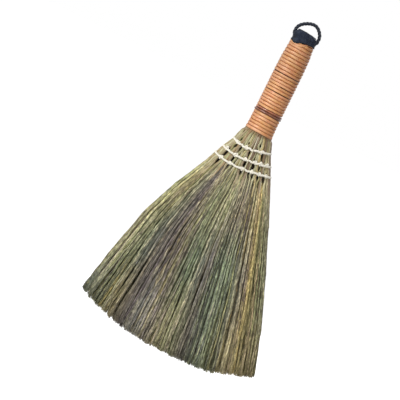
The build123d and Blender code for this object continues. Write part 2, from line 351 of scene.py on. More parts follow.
def blotch_group():
    """Soft uneven patches, pushed apart so that they read as light and dark places."""
    group, given, result = new_group("soft_blotches", ("Mask",), Size=120.0, Contrast=1.0)
    cloud = noise(group, object_place(group), given["Size"], detail=2.0)
    centred = computed(group, "SUBTRACT", cloud, 0.5)
    widened = computed(group, "MULTIPLY", centred, given["Contrast"])
    group.links.new(computed(group, "ADD", widened, 0.5, clamp=True), result["Mask"])
    return group


def lint_group():
    """Fine fuzz of spun fibre."""
    group, given, result = new_group("spun_lint", ("Shade",), Size=2500.0)
    fuzz = noise(group, object_place(group), given["Size"], detail=4.0, roughness=0.7)
    group.links.new(fuzz, result["Shade"])
    return group


plant_grain = grain_group()
soft_blotches = blotch_group()
spun_lint = lint_group()
print("node groups:", [group.name for group in bpy.data.node_groups])


# %% Helpers for materials
def placed(tree, group, **values):
    """What a node group gives back where it is placed in a material."""
    sockets = {name.capitalize(): value for name, value in values.items()}
    return node(tree, "ShaderNodeGroup", sockets, node_tree=group).outputs


def streaky(tree, along, across_it, often, fine, detail=3.0):
    """Noise in long streaks: it changes often along a strand or strip, and fine across it."""
    place = node(tree, "ShaderNodeCombineXYZ", {"X": computed(tree, "MULTIPLY", along, often),
                                                "Y": computed(tree, "MULTIPLY", across_it, fine)})
    return noise(tree, place.outputs[0], detail=detail)


def new_material(name, look, roughness, **constants):
    """A material with these constants. Its look gives its colour, and a height with how deep
    that is in metres, which is 0 on a smooth surface."""
    made = bpy.data.materials.new(name)
    made.use_nodes = True
    tree = made.node_tree
    shader = tree.nodes["Principled BSDF"]
    shader.inputs["Roughness"].default_value = roughness
    for socket, value in constants.items():
        shader.inputs[socket.replace("_", " ")].default_value = value
    colour, height, deep = look(tree)
    tree.links.new(colour, shader.inputs["Base Color"])
    if deep:
        bump = node(tree, "ShaderNodeBump", {"Height": height, "Distance": deep})
        tree.links.new(bump.outputs[0], shader.inputs["Normal"])
    print("material:", made.name)
    return made


# %% [markdown]
# ## Straw
# Broom straw is the flowering end of a tall grass. One strand is dull green-grey, its neighbour
# brown or as pale as hay, and the fan shows broad streaks that run down from the neck and change
# on their way. Three ramps across the fan, for its neck, its middle and its tips, give the
# streaks. Attributes that each strand carries give the rest: where it lies across the fan, how
# far down a point is, how light the strand is, and whether it leans to purple or to yellow.
# %% Straw material
hay_gold = rgb(184, 168, 128)
bright_gold = rgb(210, 187, 134)
dull_gold = rgb(160, 148, 110)
pale_hay = rgb(182, 172, 140)
yellow_green = rgb(168, 170, 130)
pale_green = rgb(154, 162, 136)
grey_green = rgb(138, 147, 121)
olive = rgb(152, 151, 119)
warm_brown = rgb(156, 144, 122)
pale_brown = rgb(174, 162, 140)
purple_brown = rgb(122, 112, 106)
slate = rgb(116, 118, 106)
lilac_grey = rgb(158, 153, 148)


def streaks(tree, where, along):
    """The colour of the streaks: one ramp below the neck, one half-way down, one at the tips."""
    neck = ramp(
        tree, where, (0.0, yellow_green), (0.09, hay_gold), (0.17, olive), (0.25, purple_brown),
        (0.34, pale_brown), (0.42, yellow_green), (0.48, pale_hay), (0.54, yellow_green),
        (0.63, pale_brown), (0.74, warm_brown), (0.82, dull_gold), (0.87, bright_gold),
        (0.94, olive), (1.0, pale_hay))
    middle = ramp(
        tree, where, (0.0, pale_hay), (0.1, yellow_green), (0.17, slate), (0.26, purple_brown),
        (0.33, purple_brown), (0.38, warm_brown), (0.45, grey_green), (0.5, grey_green),
        (0.54, slate), (0.59, purple_brown), (0.65, pale_green), (0.74, pale_green),
        (0.79, olive), (0.83, purple_brown), (0.88, bright_gold), (0.93, dull_gold),
        (0.965, yellow_green), (1.0, pale_hay))
    tips = ramp(
        tree, where, (0.0, slate), (0.11, olive), (0.18, dull_gold), (0.25, purple_brown),
        (0.33, lilac_grey), (0.4, pale_brown), (0.47, pale_hay), (0.54, olive),
        (0.6, purple_brown), (0.68, pale_green), (0.76, olive), (0.84, hay_gold),
        (0.91, hay_gold), (1.0, dull_gold))
    upper = mixed(tree, spread(tree, along, 0.34, 0.56), neck, middle)
    return mixed(tree, spread(tree, along, 0.66, 0.86), upper, tips)


def straw_look(tree):
    along, tone, cast = (attribute(tree, name) for name in ("along", "tone", "cast"))
    where = computed(tree, "MULTIPLY_ADD", cast, 0.08, attribute(tree, "across"))
    colour = streaks(tree, computed(tree, "SUBTRACT", where, 0.04), along)
    tint = ramp(tree, cast, (0.0, (0.92, 0.83, 1.03, 1)), (0.3, (0.99, 0.97, 1.02, 1)),
                (0.55, (0.96, 1.03, 0.95, 1)), (0.8, (1.03, 1.03, 0.86, 1)),
                (1.0, (1.16, 1.05, 0.72, 1)))
    colour = tinted(tree, colour, tint, spread(tree, tone, 0.0, 0.8, 0.2, 1.45))
    pale = ramp(tree, tone, (0.0, grey(0)), (0.8, grey(0)), (1.0, grey(0.8)))
    colour = mixed(tree, pale, colour, rgb(218, 208, 174))
    # Painted light and shade of crinkles: noise that lightens and darkens short places along each
    # strand, and patches across a few strands.
    fibre_shade = spread(tree, streaky(tree, along, tone, 96.0, 310.0, 2.0), 0.3, 0.7, 0.62, 1.28)
    crinkles = placed(tree, plant_grain, across=620.0, along=260.0)["Shade"]
    speckle = spread(tree, crinkles, 0.34, 0.66, 0.62, 1.4)
    pale_root = spread(tree, along, 0.18, 0.32, 1.3, 1.0)
    colour = tinted(tree, colour, fibre_shade, speckle, pale_root)
    return colour, placed(tree, plant_grain, across=1600.0, along=160.0)["Height"], 0.15 * mm


straw = new_material("broom_straw", straw_look, 0.6, Specular_IOR_Level=0.3)

# %% [markdown]
# ## Stalks
# Between the handle and the loose straw, the thick lower stems of the grass show. They are paler
# and smoother than the straw, almost the colour of hay, with faint ridges along them. Some are
# brown, all are darker brown in the first millimetres below the handle, and those inside the
# neck are painted nearly black as shade, which shows in the slits.
# %% Stalk material
def stalk_look(tree):
    tone, along = attribute(tree, "tone"), attribute(tree, "along")
    # Tones up to 0.08 are painted shade: the stalks inside the neck, seen through the slits, are
    # drawn nearly black.
    colour = ramp(
        tree, tone, (0.0, rgb(20, 16, 12)), (0.08, rgb(38, 31, 24)), (0.13, rgb(128, 110, 88)),
        (0.22, rgb(186, 162, 120)), (0.32, rgb(214, 202, 168)), (0.42, rgb(152, 150, 102)),
        (0.52, rgb(190, 184, 144)), (0.6, rgb(150, 130, 114)), (0.7, rgb(202, 180, 124)),
        (0.8, rgb(170, 172, 128)), (0.9, rgb(222, 216, 186)), (1.0, rgb(242, 238, 216)))
    below = computed(tree, "MULTIPLY", spread(tree, along, 0.16, 0.4), 0.8)
    colour = mixed(tree, below, colour, rgb(206, 194, 158))
    # Darker brown in the first few millimetres below the mouth of the handle.
    darker_at_mouth = spread(tree, along, 0.002, 0.014, 0.6, 0.0)
    colour = mixed(tree, darker_at_mouth, colour, rgb(120, 82, 44))
    lines = placed(tree, plant_grain, across=1800.0, along=60.0)
    shade = ramp(tree, lines["Shade"], (0.32, (0.6, 0.56, 0.51, 1)), (0.68, (1.22, 1.22, 1.2, 1)))
    colour = tinted(tree, colour, shade)
    patches = placed(tree, soft_blotches, size=230.0, contrast=3.0)["Mask"]
    colour = mixed(tree, computed(tree, "MULTIPLY", patches, 0.36), colour, rgb(118, 94, 62))
    return colour, lines["Height"], 0.12 * mm


stalk = new_material("grass_stalk", stalk_look, 0.5, Specular_IOR_Level=0.45)

# %% [markdown]
# ## Cane
# The handle is wound with split rattan: the shiny skin is outside, orange to straw yellow with
# pinkish places. Painted shade darkens the valleys between the turns and the right side of the
# handle, and a pale streak of painted highlight runs a little left of the middle. The strip
# carries attributes for this: how many turns are wound up to a point, how far the point lies
# above or below the middle of the strip, and where a dark line was drawn in. A thin clear coat
# gives the gloss.
# %% Cane material
def cane_look(tree):
    wound, rise = attribute(tree, "wound"), attribute(tree, "rise")
    patches = streaky(tree, wound, rise, 7.0, 0.5)
    colour = ramp(tree, patches, (0.28, rgb(202, 126, 76)), (0.42, rgb(218, 152, 98)),
                  (0.52, rgb(222, 164, 120)), (0.6, rgb(210, 134, 92)), (0.74, rgb(224, 174, 104)))
    fibres = streaky(tree, wound, rise, 11.0, 3.0)
    grain = ramp(tree, fibres, (0.32, (0.84, 0.8, 0.75, 1)), (0.68, (1.1, 1.11, 1.12, 1)))
    turns = ramp(tree, streaky(tree, wound, rise, 1.7, 0.0), (0.34, (0.82, 0.78, 0.72, 1)),
                 (0.46, (0.98, 0.98, 0.88, 1)), (0.54, (1.0, 0.94, 0.96, 1)),
                 (0.66, (1.04, 1.06, 1.12, 1)))
    # Painted light across the handle, from left to right: a cool tint at the far left, a pale
    # streak of painted highlight a little left of the middle, and painted shade towards the right
    # side.
    sideways = node(tree, "ShaderNodeSeparateXYZ", {0: object_place(tree)}).outputs["X"]
    painted_side_light = ramp(tree, computed(tree, "MULTIPLY_ADD", sideways, 40.0, 0.5),
                 (0.0, (0.8, 0.9, 1.0, 1)), (0.2, (0.85, 0.94, 1.03, 1)),
                 (0.34, (0.96, 1.06, 1.16, 1)), (0.5, (0.88, 0.97, 0.98, 1)),
                 (0.8, (0.88, 0.92, 0.9, 1)), (1.0, (0.8, 0.76, 0.7, 1)))
    lighter_top = spread(tree, wound, 14.0, 22.0, 1.16, 0.98)
    colour = tinted(tree, colour, grain, turns, painted_side_light, lighter_top)
    # Painted shade in the valleys between turns, at both edges of the strip, deeper in some places
    # along it than in others.
    valley_shade = ramp(tree, computed(tree, "ABSOLUTE", rise), (0.0, grey(0)), (0.45, grey(0.06)),
                 (0.76, grey(0.5)), (0.95, grey(0.95)))
    painted_shading = spread(tree, patches, 0.35, 0.65, 1.0, 0.45)
    colour = mixed(tree, computed(tree, "MULTIPLY", valley_shade, painted_shading), colour, rgb(140, 74, 34))
    # The dark lines drawn along some edges of the strips.
    return mixed(tree, attribute(tree, "dark_edge_line"), colour, rgb(72, 34, 18)), fibres, 0.06 * mm


def dark_cane_look(tree):
    wound, rise = attribute(tree, "wound"), attribute(tree, "rise")
    fibres = streaky(tree, wound, rise, 16.0, 2.0)
    colour = ramp(tree, fibres, (0.3, rgb(84, 38, 22)), (0.52, rgb(140, 76, 46)),
                  (0.72, rgb(190, 124, 78)))
    # Painted light across the strip: painted shade at its lower and upper edges and a painted
    # highlight above its middle.
    painted_shading = ramp(tree, computed(tree, "MULTIPLY_ADD", rise, 0.5, 0.5), (0.0, grey(0.3)),
                (0.35, (0.8, 0.78, 0.78, 1)), (0.62, (1.35, 1.38, 1.42, 1)),
                (0.82, (1.0, 0.98, 0.96, 1)), (1.0, (0.35, 0.33, 0.33, 1)))
    # The upper turn is painted lighter, as a highlight, and the lower turn darker, as shade.
    painted_turn_light = spread(tree, wound, 7.3, 7.7, 0.75, 1.2)
    return tinted(tree, colour, painted_shading, painted_turn_light), fibres, 0.06 * mm


cane = new_material("split_cane", cane_look, 0.5, Specular_IOR_Level=0.4, Coat_Weight=0.18,
                    Coat_Roughness=0.3)
dark_cane = new_material("stained_cane", dark_cane_look, 0.35, Specular_IOR_Level=0.5,
                         Coat_Weight=0.5, Coat_Roughness=0.2)

# %% [markdown]
# ## Twine, cloth and cord
# The twine is unbleached cotton, so it is warm white and dull. The cap is dark blue cloth with
# paler patches, partly its uneven colour and partly painted sheen, and painted shade darkens
# the rim of its top, its hem and its sides. Its weave is drawn on the cap's own UV map, so that
# the threads go round the handle. The loop's cord is almost black, with lighter lint.
# %% Twine, cloth and cord materials
threads_per_metre = 1900.0


def twine_look(tree):
    lint = placed(tree, spun_lint, size=2600.0)["Shade"]
    return ramp(tree, lint, (0.3, rgb(222, 212, 188)), (0.6, rgb(250, 247, 236))), lint, 0.12 * mm


def cloth_look(tree):
    place = node(tree, "ShaderNodeUVMap", uv_map="cloth").outputs[0]
    parts = node(tree, "ShaderNodeSeparateXYZ", {0: place}).outputs
    turn = threads_per_metre * math.tau
    warp, weft = (computed(tree, "SINE", computed(tree, "MULTIPLY", parts[axis], turn))
                  for axis in ("X", "Y"))
    weave = computed(tree, "MULTIPLY", warp, weft)
    # Paler patches: partly the cloth's uneven colour, partly painted sheen.
    patches = placed(tree, soft_blotches, size=260.0, contrast=2.2)["Mask"]
    colour = ramp(tree, patches, (0.0, rgb(10, 15, 26)), (0.35, rgb(22, 34, 58)),
                  (0.6, rgb(30, 40, 55)), (0.8, rgb(48, 57, 78)), (1.0, rgb(48, 60, 70)))
    colour = tinted(tree, colour, computed(tree, "MULTIPLY_ADD", weave, 0.3, 0.8))
    # Painted shade at the rim of the top, at the hem and at the sides of the cap.
    return mixed(tree, attribute(tree, "painted_edge_shade"), colour, rgb(8, 10, 16)), weave, 0.1 * mm


def cord_look(tree):
    lint = placed(tree, spun_lint, size=1500.0)["Shade"]
    return ramp(tree, lint, (0.35, rgb(10, 13, 22)), (0.7, rgb(36, 44, 60))), lint, 0.12 * mm


twine = new_material("cotton_twine", twine_look, 0.85, Specular_IOR_Level=0.2, Sheen_Weight=0.3,
                     Sheen_Roughness=0.5)
cap_cloth = new_material("dark_cloth", cloth_look, 0.7, Specular_IOR_Level=0.3)
loop_cord = new_material("dark_cord", cord_look, 0.6, Specular_IOR_Level=0.4)

# %% [markdown]
# ## Pieces that are already right
# The stalk ends, the wire and the thread inside the handle keep the shape that they have in the
# frame. They only need a finish, which goes into the slots of the pieces themselves.
# %% Finish the inner pieces
def wire_look(tree):
    patches = placed(tree, soft_blotches, size=300.0, contrast=1.6)["Mask"]
    return ramp(tree, patches, (0.2, rgb(150, 146, 140)), (0.9, rgb(198, 198, 196))), patches, 0


def inner_stalk_look(tree):
    lines = placed(tree, plant_grain, across=1500.0, along=40.0)
    colour = ramp(tree, lines["Shade"], (0.3, rgb(150, 134, 98)), (0.7, rgb(204, 192, 152)))
    return colour, lines["Height"], 0.12 * mm


wire = new_material("binding_wire", wire_look, 0.38, Metallic=1.0)
inner_stalk = new_material("inner_stalk", inner_stalk_look, 0.55, Specular_IOR_Level=0.4)
inner_finishes = {"neck_wire": wire, "handle_wire": wire, "end_thread": twine,
                  "handle_stalks": inner_stalk}
for name, finish in inner_finishes.items():
    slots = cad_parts[name].data.materials
    slots.clear()
    slots.append(finish)
print("inner pieces finished:", len(inner_finishes))


# %% [markdown]
# ## Copies by the thousand
# A fan holds thousands of strands. One strand is modelled by hand, a thin three-sided rod that is
# cut into short lengths, and then copied in one go: every copy is bent along its own line, made
# thicker or thinner along it, and all the copies become one mesh. Doing this with arrays of
# numbers takes a second, where a loop of operators would take an hour.
# %% Copy a rod along many lines
def modelled_rod(name, sides, segments):
    """A rod one unit high, cut into segments: its sections, their levels, and its faces."""
    bpy.ops.object.select_all(action="DESELECT")
    bpy.ops.mesh.primitive_cylinder_add(vertices=sides, radius=1, depth=1, location=(0, 0, 0.5))
    rod = only(bpy.context.object)
    rod.name = name
    bpy.ops.object.transform_apply(location=True)
    edit(rod)
    for i in range(1, segments):
        bpy.ops.mesh.select_all(action="SELECT")
        bpy.ops.mesh.bisect(plane_co=(0, 0, i / segments), plane_no=(0, 0, 1))
    bpy.ops.object.mode_set(mode="OBJECT")
    points = points_of(rod.data)
    faces = [tuple(face.vertices) for face in rod.data.polygons]
    bpy.data.objects.remove(rod)
    level = np.rint(points[:, 2] * segments).astype(int)
    print(f"{name}: {len(points)} points, {len(faces)} faces, {level.max() + 1} levels")
    return points[:, :2], level, faces


def mesh_object(name, points, faces, material):
    """An object of many points and faces, smooth, with its material."""
    made = bpy.data.meshes.new(name)
    sizes = np.array([len(face) for face in faces])
    starts = np.concatenate(([0], np.cumsum(sizes)[:-1]))
    made.vertices.add(len(points))
    place_points(made, points)
    made.loops.add(int(sizes.sum()))
    made.loops.foreach_set("vertex_index", np.concatenate(faces).astype(np.int32))
    made.polygons.add(len(faces))
    made.polygons.foreach_set("loop_start", starts.astype(np.int32))
    made.polygons.foreach_set("use_smooth", np.ones(len(faces), bool))
    made.update(calc_edges=True)
    made.materials.append(material)
    piece = bpy.data.objects.new(name, made)
    bpy.context.scene.collection.objects.link(piece)
    return piece


def mark(piece, name, values):
    """A number for each point of a piece, which its material reads."""
    made = piece.data.attributes.new(name, "FLOAT", "POINT")
    made.data.foreach_set("value", np.ravel(values).astype(np.float32))


def copied_along(name, rod, lines, radii, marks, material):
    """Copies of a rod, one along each line of points, as one object."""
    section, level, faces = rod
    count = len(lines)
    turn = np.arange(count)[:, None] * 2.4
    across_x = section[:, 0] * np.cos(turn) - section[:, 1] * np.sin(turn)
    across_y = section[:, 0] * np.sin(turn) + section[:, 1] * np.cos(turn)
    points = lines[:, level, :].copy()
    points[..., 0] += across_x * radii[:, level]
    points[..., 1] += across_y * radii[:, level]
    copies = [np.array(face) + i * len(level) for i in range(count) for face in faces]
    piece = mesh_object(name, points.reshape(-1, 3), copies, material)
    for label, values in marks.items():
        if values.ndim == 1:
            values = np.repeat(values[:, None], lines.shape[1], axis=1)
        mark(piece, label, values[:, level])
    return piece


strand_segments = 26
stalk_segments = 48
strand_rod = modelled_rod("strand", 3, strand_segments)
stalk_rod = modelled_rod("stalk", 7, stalk_segments)

# %% [markdown]
# ## Bundles, locks and wisps
# The maker gathered the grass into seven bundles and stitched them side by side. Inside a bundle
# the straw hangs in locks, and each lock in wisps a millimetre or two wide, which draw together
# on the way down and leave dark lines between them; the strands at a wisp's rim are also given
# painted shade. Every strand belongs to a wisp and every wisp to a lock, so these are laid out
# first, each with a place and a character of its own.
# %% Bundles, locks and wisps
bundle_names = ("left_edge", "left_outer", "left_inner", "middle", "right_inner", "right_outer",
                "right_edge")
bundle_edge_shares = (-1.0, -0.79, -0.41, 0.01, 0.36, 0.64, 0.85, 1.0)
bundles = list(zip(bundle_names, bundle_edge_shares, bundle_edge_shares[1:]))
lock_columns = 50
wisp_columns = 140
chance = np.random.default_rng(11)


def lay_out(columns, rows):
    """Places across and through the fan, in uneven columns and rows, with random traits."""
    column, row = np.meshgrid(np.arange(columns), np.arange(rows), indexing="ij")
    column = column + chance.uniform(0.1, 0.9, column.shape) + 0.5 * (row % 2) - 0.25
    row = row + chance.uniform(0.2, 0.8, row.shape)
    made = {"share": np.clip(2 * column.ravel() / columns - 1, -0.985, 0.985),
            "through": 2 * row.ravel() / rows - 1}
    for trait in ("tone", "cast", "phase"):
        made[trait] = chance.uniform(0, 1, columns * rows)
    for trait in ("sway", "length"):
        made[trait] = chance.normal(0, 1, columns * rows)
    return made


def nearest(group, columns, share, through):
    """Which member of a group is nearest to each place."""
    off = (group["share"][None, :] - share[:, None]) * columns
    deep = (group["through"][None, :] - through[:, None]) * 4
    return np.argmin(off**2 + deep**2, axis=1)


locks = lay_out(lock_columns, 4)
wisps = lay_out(wisp_columns, 6)
lock_of_wisp = nearest(locks, lock_columns, wisps["share"], wisps["through"])
print("locks:", len(locks["share"]), "wisps:", len(wisps["share"]))

# %% [markdown]
# ## Rows of stitching and their slits
# Three rows of twine cross the neck. Each hangs a little lower in the middle, and where it ties
# two bundles together it pulls the grass apart just below, so that a dark slit opens. A few more
# slits show near the mouth and far down the fan. Stalks and straw both make way for them.
# %% Rows and slits
row_depths = (11.0 * mm, 21.1 * mm, 29.2 * mm)
row_bow = 3.2 * mm
row_slant = 0.8 * mm
row_skew = 0.6 * mm
tie_shares = (
    (-0.66, -0.4, -0.19, 0.03, 0.18, 0.6),
    (-0.7, -0.4, 0.03, 0.37, 0.57, 0.82),
    (-0.76, -0.4, 0.02, 0.28, 0.39, 0.57, 0.78),
)
slit_r = 1.5 * mm
slit_drop = 3.3 * mm
slit_length = 2.5 * mm
parting = 1.65 * mm


def row_depth(row, share):
    """Depth of a row of stitching at a share across the fan, lower in the middle."""
    return (row_depths[row] + row_bow * (1 - share**2) - row_slant / 2 * share
            - row_skew * np.sin(math.pi * share))


slits = [(tie, row_depth(row, tie) + slit_drop, slit_length)
         for row in range(3) for tie in tie_shares[row]]
slits += [(share, depth * mm, length * mm) for share, depth, length in (
    (-0.8, 2.6, 2.4), (-0.66, 9.8, 1.3), (-0.2, 10.2, 1.3), (0.42, 8.0, 2.2), (0.2, 191, 10),
    (-0.34, 146, 9), (0.0, 147, 8), (-0.63, 186, 8), (-0.12, 196, 8), (0.55, 192, 8))]
print("slits:", len(slits))


def parted(share, depth):
    """How far straw and stalks stand aside at the slits, each to the side it is on there."""
    aside = 0
    for tie, middle, length in slits:
        off = (share - tie) / slit_r * edge_reach(right_edge, depth)
        below = (depth - middle) / length
        level = np.argmin(np.abs(below), axis=1)[:, None]
        side = np.tanh(9 * np.take_along_axis(off, level, axis=1))
        aside = aside + parting * side * np.exp(-off**2 - below**2)
    return aside


# %% [markdown]
# ## Loose straw
# A strand starts among the stalks under the stitching, thin and hidden, fans out with its lock
# and ends where the fan was trimmed. Grass is never straight: each strand wanders slowly and
# crinkles in short kinks, and a few stand away from the rest. More strands lie near the front and
# the back than in the middle of the fan, where nothing would see them.
# %% Strands
strands_in_all = 10000
strand_r = 0.4 * mm


def strand_lines(count, low, high, front):
    """Lines of the strands of half a bundle, their radii and their marks."""
    share = chance.uniform(low, high, count)
    through = chance.uniform(0, 1, count) ** 0.62 * (-1 if front else 1)
    wisp = nearest(wisps, wisp_columns, share, through)
    lock = lock_of_wisp[wisp]
    in_wisp = {trait: values[wisp][:, None] for trait, values in wisps.items()}
    in_lock = {trait: values[lock][:, None] for trait, values in locks.items()}
    step = np.linspace(0, 1, strand_segments + 1)[None, :]
    root = (34 + 36 * chance.uniform(0, 1, count) ** 1.2) * mm
    tip = trim_depth(across(share, fan_length)) + chance.normal(0, 0.7 * mm, count)
    tip = tip + np.clip(locks["length"][lock] + 0.6 * wisps["length"][wisp], -2, 1) * 0.6 * mm
    depth = root[:, None] + (tip - root)[:, None] * step**1.15
    free = unit(depth / fan_length)

    gathered = 0.75 * unit(free * 2.2) * (0.3 + 0.7 * through[:, None] ** 2)
    drawn = 0.5 * np.sin(math.pi * unit(free * 0.9)) ** 0.7
    own = share[:, None] + (in_wisp["share"] - share[:, None]) * gathered
    own = np.clip(own + (in_lock["share"] - in_wisp["share"]) * drawn, -0.99, 0.99)
    deep = through[:, None] + (in_wisp["through"] - through[:, None]) * gathered * 0.5
    x = across(own, depth) + parted(own, depth) * unit((np.abs(through) - 0.4) / 0.3)[:, None]
    y = deep * half_thickness(own, depth)

    sway = np.sin(depth / (34 * mm) + in_lock["phase"] * 9) * in_lock["sway"]
    wave = np.sin(depth / (7 * mm) + in_wisp["phase"] * 9) * in_wisp["sway"]
    x = x + (0.8 * mm * sway * free + 0.22 * mm * wave) * free**0.5
    bend = chance.normal(0, 0.5 * mm, count)[:, None]
    x = x + bend * free * np.sin(depth / (20 * mm) + chance.uniform(0, math.tau, count)[:, None])
    kinks = chance.normal(0, 0.24 * mm, (2, *depth.shape)) * (0.3 + 0.7 * free**0.5)
    y = np.clip(y + 1.5 * kinks[1], cad_low.y + strand_r, cad_high.y - strand_r)
    stray = (chance.uniform(0, 1, count) > 0.975) * chance.normal(0, 1.6 * mm, count)
    x = x + kinks[0] + stray[:, None] * step**2
    x = np.clip(x, cad_low.x - 2 * mm, cad_high.x + 2 * mm)

    shape = np.interp(step[0], (0, 0.1, 0.45, 0.9, 1), (0.35, 0.95, 1.0, 0.75, 0.3))
    radii = strand_r * chance.uniform(0.6, 1.2, count)[:, None] * shape[None, :]
    # Strands near the rim of their wisp get a lower tone below: painted shade between the wisps.
    rim = unit(np.abs(share - wisps["share"][wisp]) * wisp_columns)
    tone = 0.5 * wisps["tone"][wisp] + 0.22 * locks["tone"][lock]
    tone = tone + 0.62 * chance.uniform(0, 1, count)
    cast = 0.55 * wisps["cast"][wisp] + 0.6 * chance.uniform(0, 1, count) - 0.075
    marks = {"across": (share + 1) / 2, "along": free, "tone": unit(tone - 0.1 - 0.25 * rim**2),
             "cast": unit(cast)}
    return np.stack([x, y, mouth_z - depth], axis=2), radii, marks


def build_straws():
    """The straw of each bundle, a front half and a back half."""
    made = 0
    for name, low, high in bundles:
        for side in ("front", "back"):
            count = round(strands_in_all * (high - low) / 4)
            lines, radii, marks = strand_lines(count, low, high, side == "front")
            piece = copied_along(f"{name}_{side}_straws", strand_rod, lines, radii, marks, straw)
            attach(piece, "broom")
            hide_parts(f"{name}_bundle")
            made += count
    return made


print("strands:", build_straws())

# %% [markdown]
# ## Stalks at the neck
# Where the fan leaves the handle, it is all stalks: about fifteen side by side in each of the
# outer layers, with darker ones behind them that show as the fan widens. The stitching draws the
# stalks of a bundle together, which opens the dark gaps above and below each row.
# %% Stalks
stalk_layers = ((0.98, 15), (0.9, 16), (0.8, 15), (0.5, 25), (0.3, 26), (0.1, 25))
stalk_arc = math.radians(164)
stalk_r = 1.1 * mm
stalk_root = -4 * mm
row_grip = 4.2 * mm
draw = np.random.default_rng(4)


def squeeze(share, depth):
    """How tightly the stitching draws a bundle together at a depth, from 0 to 1."""
    return unit(sum(bell(depth, row_depth(row, share), row_grip) for row in range(3)))


def stalk_places(low, high):
    """Share across and layer, towards the front or the back, of one bundle's stalks."""
    places = []
    for layer, columns in stalk_layers:
        for side in (-1, 1):
            for column in range(columns):
                angle = stalk_arc * ((column + 0.5) / columns - 0.5)
                places.append((math.sin(angle), side * layer))
    return np.array([place for place in places if low <= place[0] < high])


def stalk_lines(low, high):
    """Lines of one bundle's stalks, their radii and their marks."""
    middle = (low + high) / 2
    places = stalk_places(low, high)
    count = len(places)
    share = places[:, 0][:, None] + draw.normal(0, 0.012, count)[:, None]
    layer = np.abs(places[:, 1])[:, None]
    side = np.sign(places[:, 1])[:, None]
    outer = unit((layer - 0.5) / 0.25)
    step = np.linspace(0, 1, stalk_segments + 1)[None, :]
    end = draw.uniform(50, 92, count)[:, None] * mm
    depth = stalk_root + (end - stalk_root) * step**1.15

    tight = squeeze(middle, depth)
    drawn = (0.04 + 0.12 * tight) * unit(depth / (8 * mm)) * outer
    own = share + (middle - share) * drawn
    x = across(own, depth) + parted(own, depth) * outer
    x = x + draw.normal(0, 0.1 * mm, depth.shape)
    swell = 1 + 0.06 * (1 - tight) * unit(depth / (10 * mm))
    risen = layer + (0.94 - layer) * 0.8 * unit((depth - 8 * mm) / (20 * mm)) * (outer > 0.9)
    sunk = stalk_r * np.clip(0.2 + depth / (8 * mm), 0.2, 0.7)
    y = side * (risen * half_thickness(own, depth) * swell - sunk)
    y = np.where(depth > neck_length, y * (1 - 0.3 * (depth - neck_length) / (50 * mm)), y)

    shape = np.interp(depth / mm, (-4, 3, 20, 40, 60, 96), (1.1, 1.1, 1.0, 0.92, 0.68, 0.25))
    radii = stalk_r * draw.uniform(0.72, 1.15, count)[:, None] * shape
    # The stalks inside the neck get the darkest tones, painted shade for the depth of the slits.
    hidden = (outer[:, 0] < 0.9) & (np.abs(places[:, 0]) < 0.8)
    tone = np.where(hidden, draw.uniform(0, 0.06, count), draw.uniform(0.12, 1, count))
    marks = {"along": depth / fan_length, "tone": tone}
    return np.stack([x, y, mouth_z - depth], axis=2), radii, marks


# %% The stalk over the stitching
over_share = 0.1
over_r = 0.45 * mm


def with_stalk_over(lines, radii, marks):
    """Adds the one thin pale stalk that came out over the stitching."""
    depth = np.linspace(-2 * mm, 37 * mm, stalk_segments + 1)
    share = over_share + 0.02 * np.sin(depth / (9 * mm))
    y = -half_thickness(share, depth)
    y = y - np.interp(depth / mm, (0, 9, 33, 37), (-1, 1.6, 1.6, 0)) * mm
    line = np.stack([across(share, depth), y, mouth_z - depth], axis=1)
    marks = {"along": np.vstack([marks["along"], depth / fan_length]),
             "tone": np.append(marks["tone"], 0.95)}
    radii = np.vstack([radii, np.full(len(depth), over_r)])
    return np.concatenate([lines, line[None]]), radii, marks


def build_stalks():
    """The stalks of each bundle, as one piece a bundle."""
    made = 0
    for name, low, high in bundles:
        lines, radii, marks = stalk_lines(low, high)
        if low <= over_share < high:
            lines, radii, marks = with_stalk_over(lines, radii, marks)
        piece = copied_along(f"{name}_stalks", stalk_rod, lines, radii, marks, stalk)
        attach(piece, "broom")
        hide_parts(f"{name}_bundle")
        made += len(lines)
    return made


print("stalks:", build_stalks())

# %% [markdown]
# ## Cane winding
# A cane strip is as wide as one turn is high, flat below and softly crowned above. Its section is
# modelled as a small rectangle with rounded corners, and the Screw modifier carries it round the
# handle. The winding is left-handed, which a negative angle gives. The handle is not a plain
# cylinder, so afterwards each point is moved in or out by what the handle's outline says there.
# %% Wind a strip round the handle
grip_r = 12.3 * mm
grip_base_r = 13.0 * mm
grip_top_r = 10.2 * mm
strip_thickness = 1.9 * mm
strip_crown = 0.36 * mm
strip_sink = 0.22 * mm
end_sink = 0.8 * mm
steps_in_turn = 44


def grip_radius(z):
    """Outside radius of the winding at a height."""
    share = unit((z - mouth_z) / grip_length)
    below = unit(1 - share / 0.15) ** 2
    above = unit(1 - (1 - share) / 0.5) ** 4
    return grip_r + (grip_base_r - grip_r) * below - (grip_r - grip_top_r) * above


def strip_section(width, radius, z):
    """The strip's section, a rounded rectangle that stands beside the handle."""
    bpy.ops.object.select_all(action="DESELECT")
    bpy.ops.mesh.primitive_plane_add(size=1, rotation=(math.radians(90), 0, 0))
    strip = only(bpy.context.object)
    strip.scale = (strip_thickness, width, 1)
    strip.location = (radius - strip_thickness / 2, 0, z)
    bpy.ops.object.transform_apply()
    edit(strip)
    bpy.ops.mesh.bevel(offset=0.34 * strip_thickness, segments=4, affect="VERTICES")
    bpy.ops.mesh.delete(type="ONLY_FACE")
    bpy.ops.object.mode_set(mode="OBJECT")
    return strip


